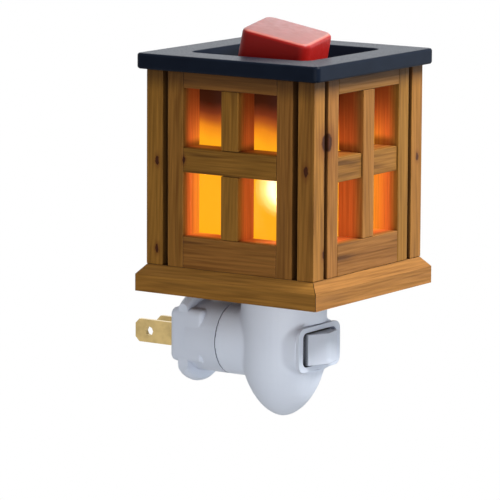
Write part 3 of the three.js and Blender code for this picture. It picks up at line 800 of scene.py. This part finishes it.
# The dish and the wax
dish_edge = 0.8 * MM
eased("melt_dish", dish_edge, steps=4, smooth=dish_smooth_angle)
shown("wax_melt", solid_of("wax_melt"), round_smooth_angle)

# The bulb, one closed envelope
bulb_neck_radius = 5.4 * MM
bulb_widest_rise = 18.0 * MM
bulb_steps = 20
bulb_sides = 48


def bulb_profile(radius, height):
    """Radius and rise from the neck through the widest ring to the dome."""
    profile = []
    for step in range(bulb_steps):
        share = step / bulb_steps
        swell = (1 - math.cos(math.pi * share)) / 2
        profile.append((bulb_neck_radius + (radius - bulb_neck_radius) * swell, bulb_widest_rise * share))
    for step in range(bulb_steps):
        angle = math.pi / 2 * step / bulb_steps
        dome_rise = (height - bulb_widest_rise) * math.sin(angle)
        profile.append((radius * math.cos(angle), bulb_widest_rise + dome_rise))
    return profile


def bulb_envelope():
    low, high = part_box("bulb_glass")
    centre = (low + high) / 2
    made = bmesh.new()
    rings = []
    for across, up in bulb_profile((high.x - low.x) / 2, high.z - low.z):
        ring = []
        for side in range(bulb_sides):
            turn = 2 * math.pi * side / bulb_sides
            ring.append(made.verts.new((
                centre.x + across * math.cos(turn), centre.y + across * math.sin(turn), low.z + up)))
        rings.append(ring)
    for lower, upper in zip(rings, rings[1:]):
        for side in range(bulb_sides):
            after = (side + 1) % bulb_sides
            made.faces.new((lower[side], lower[after], upper[after], upper[side]))
    made.faces.new(list(reversed(rings[0])))
    tip = made.verts.new((centre.x, centre.y, high.z))
    for side in range(bulb_sides):
        made.faces.new((rings[-1][side], rings[-1][(side + 1) % bulb_sides], tip))
    shown("bulb_glass", made, round_smooth_angle)


bulb_envelope()

# Light of the filament, brightest in its middle
filament_rise = 33.3 * MM
filament_place = lantern_base + Vector((0.0, 0.0, filament_rise))
glow_balls = [
    # Radius and strength
    (6.6 * MM, 1900.0),
    (8.8 * MM, 620.0),
    (10.2 * MM, 170.0),
]
for count, (radius, strength) in enumerate(glow_balls, 1):
    made = bmesh.new()
    bmesh.ops.create_icosphere(made, subdivisions=4, radius=radius)
    bmesh.ops.translate(made, verts=made.verts, vec=filament_place)
    add_piece(f"filament_glow_{count}", made, lamp_glow(f"filament_glow_{count}", strength), "bulb")

# Pieces shown as they are
for name in nodes:
    piece = nodes[name]
    if piece.hide_render or piece.hide_get():
        continue
    piece.data.materials.clear()
    piece.data.materials.append(finish_for(name))
    piece.data.shade_smooth()
    piece.data.set_sharp_from_angle(angle=plain_smooth_angle)

# Camera at the photograph's angle
camera_azimuth = math.radians(-56.01)
camera_elevation = math.radians(9.13)
camera_roll = math.radians(0.307)
camera_place = (-1.09785, -0.76541, 0.24363)
camera_reach = 10.0
focal_pixels = 3949.7
photo_pixels = 500.0
sensor_width = 36.0


def place_camera():
    back = Vector((math.sin(camera_azimuth) * math.cos(camera_elevation),
                   -math.cos(camera_azimuth) * math.cos(camera_elevation), math.sin(camera_elevation)))
    right = Vector((math.cos(camera_azimuth), math.sin(camera_azimuth), 0.0))
    up = back.cross(right)
    turned_right = math.cos(camera_roll) * right + math.sin(camera_roll) * up
    turned_up = math.cos(camera_roll) * up - math.sin(camera_roll) * right
    data = bpy.data.cameras.new("camera")
    data.lens = focal_pixels / photo_pixels * sensor_width
    data.sensor_width = sensor_width
    data.clip_end = camera_reach
    camera = bpy.data.objects.new("camera", data)
    turn = Matrix((turned_right, turned_up, back)).transposed().to_4x4()
    camera.matrix_world = Matrix.Translation(camera_place) @ turn
    bpy.context.scene.collection.objects.link(camera)
    bpy.context.scene.camera = camera


# Studio
lantern_aim = (0.0, -35.0 * MM, 45.0 * MM)
neck_aim = (0.0, -20.0 * MM, 0.0)
lamps = [
    # Place and size in metres, power in watts
    {"name": "key", "place": (0.20, -0.85, 1.05), "target": lantern_aim, "size": 0.45, "power": 31.0,
     "colour": (1.0, 0.985, 0.96)},
    {"name": "low", "place": (-0.78, -0.55, -0.15), "target": neck_aim, "size": 0.7, "power": 4.8,
     "colour": (1.0, 0.99, 0.97)},
    {"name": "front", "place": (-0.15, -1.1, -0.25), "target": lantern_aim, "size": 0.7, "power": 0.3,
     "colour": (1.0, 0.99, 0.98)},
    {"name": "side", "place": (0.85, -0.62, 0.12), "target": lantern_aim, "size": 0.9, "power": 2.9,
     "colour": (0.80, 0.92, 1.0)},
    {"name": "back", "place": (1.15, 0.85, 0.45), "target": lantern_aim, "size": 0.9, "power": 1.9,
     "colour": (0.86, 0.93, 1.0)},
]
floor_depth = 1.45
floor_half_width = 20.0
floor_grey = rgb(0.3, 0.3, 0.3)
sky_white = rgb(1.0, 0.99, 0.98)
sky_span = (-0.35, 0.35)
sky_levels = (0.14, 0.38)


def soft_light(name, place, target, size, power, colour):
    data = bpy.data.lights.new(name, "AREA")
    data.shape = "SQUARE"
    data.size = size
    data.energy = power
    data.color = colour
    lamp = bpy.data.objects.new(name, data)
    turn = (Vector(target) - Vector(place)).to_track_quat("-Z", "Y").to_matrix().to_4x4()
    lamp.matrix_world = Matrix.Translation(place) @ turn
    bpy.context.scene.collection.objects.link(lamp)


def seen_by_eye(tree):
    """1 on rays from the camera, from gloss and through glass, 0 on rays that light the object."""
    path = node(tree, "ShaderNodeLightPath").outputs
    bent = math_node(tree, "MAXIMUM", path["Is Transmission Ray"], path["Is Glossy Ray"])
    return math_node(tree, "MAXIMUM", path["Is Camera Ray"], bent)


def pale_floor():
    made = bmesh.new()
    bmesh.ops.create_grid(made, x_segments=1, y_segments=1, size=floor_half_width)
    bmesh.ops.translate(made, verts=made.verts, vec=(0.0, 0.0, -floor_depth))
    mesh = bpy.data.meshes.new("floor")
    made.to_mesh(mesh)
    made.free()
    floor = bpy.data.objects.new("floor", mesh)
    bpy.context.scene.collection.objects.link(floor)
    material, tree, shader = surface("pale_floor")
    feed(tree, shader, {"Base Color": floor_grey, "Roughness": 0.9, "Specular IOR Level": 0.0})
    glow = node(tree, "ShaderNodeEmission", {"Color": white, "Strength": 1.0})
    both = mixed_shaders(tree, seen_by_eye(tree), shader.outputs[0], glow.outputs[0])
    feed(tree, tree.nodes["Material Output"], {"Surface": both})
    mesh.materials.append(material)


def white_world():
    world = bpy.data.worlds.new("studio")
    bpy.context.scene.world = world
    world.use_nodes = True
    tree = world.node_tree
    tree.nodes.clear()
    upward = separated(tree, node(tree, "ShaderNodeTexCoord").outputs["Generated"])[2]
    level = spread(tree, upward, sky_span, sky_levels)
    dim = node(tree, "ShaderNodeBackground", {"Color": sky_white, "Strength": level})
    bright = node(tree, "ShaderNodeBackground", {"Color": white, "Strength": 1.0})
    both = mixed_shaders(tree, seen_by_eye(tree), dim.outputs[0], bright.outputs[0])
    node(tree, "ShaderNodeOutputWorld", {"Surface": both})


place_camera()
for lamp in lamps:
    soft_light(**lamp)
white_world()
pale_floor()
bpy.context.scene.view_settings.view_transform = "Standard"
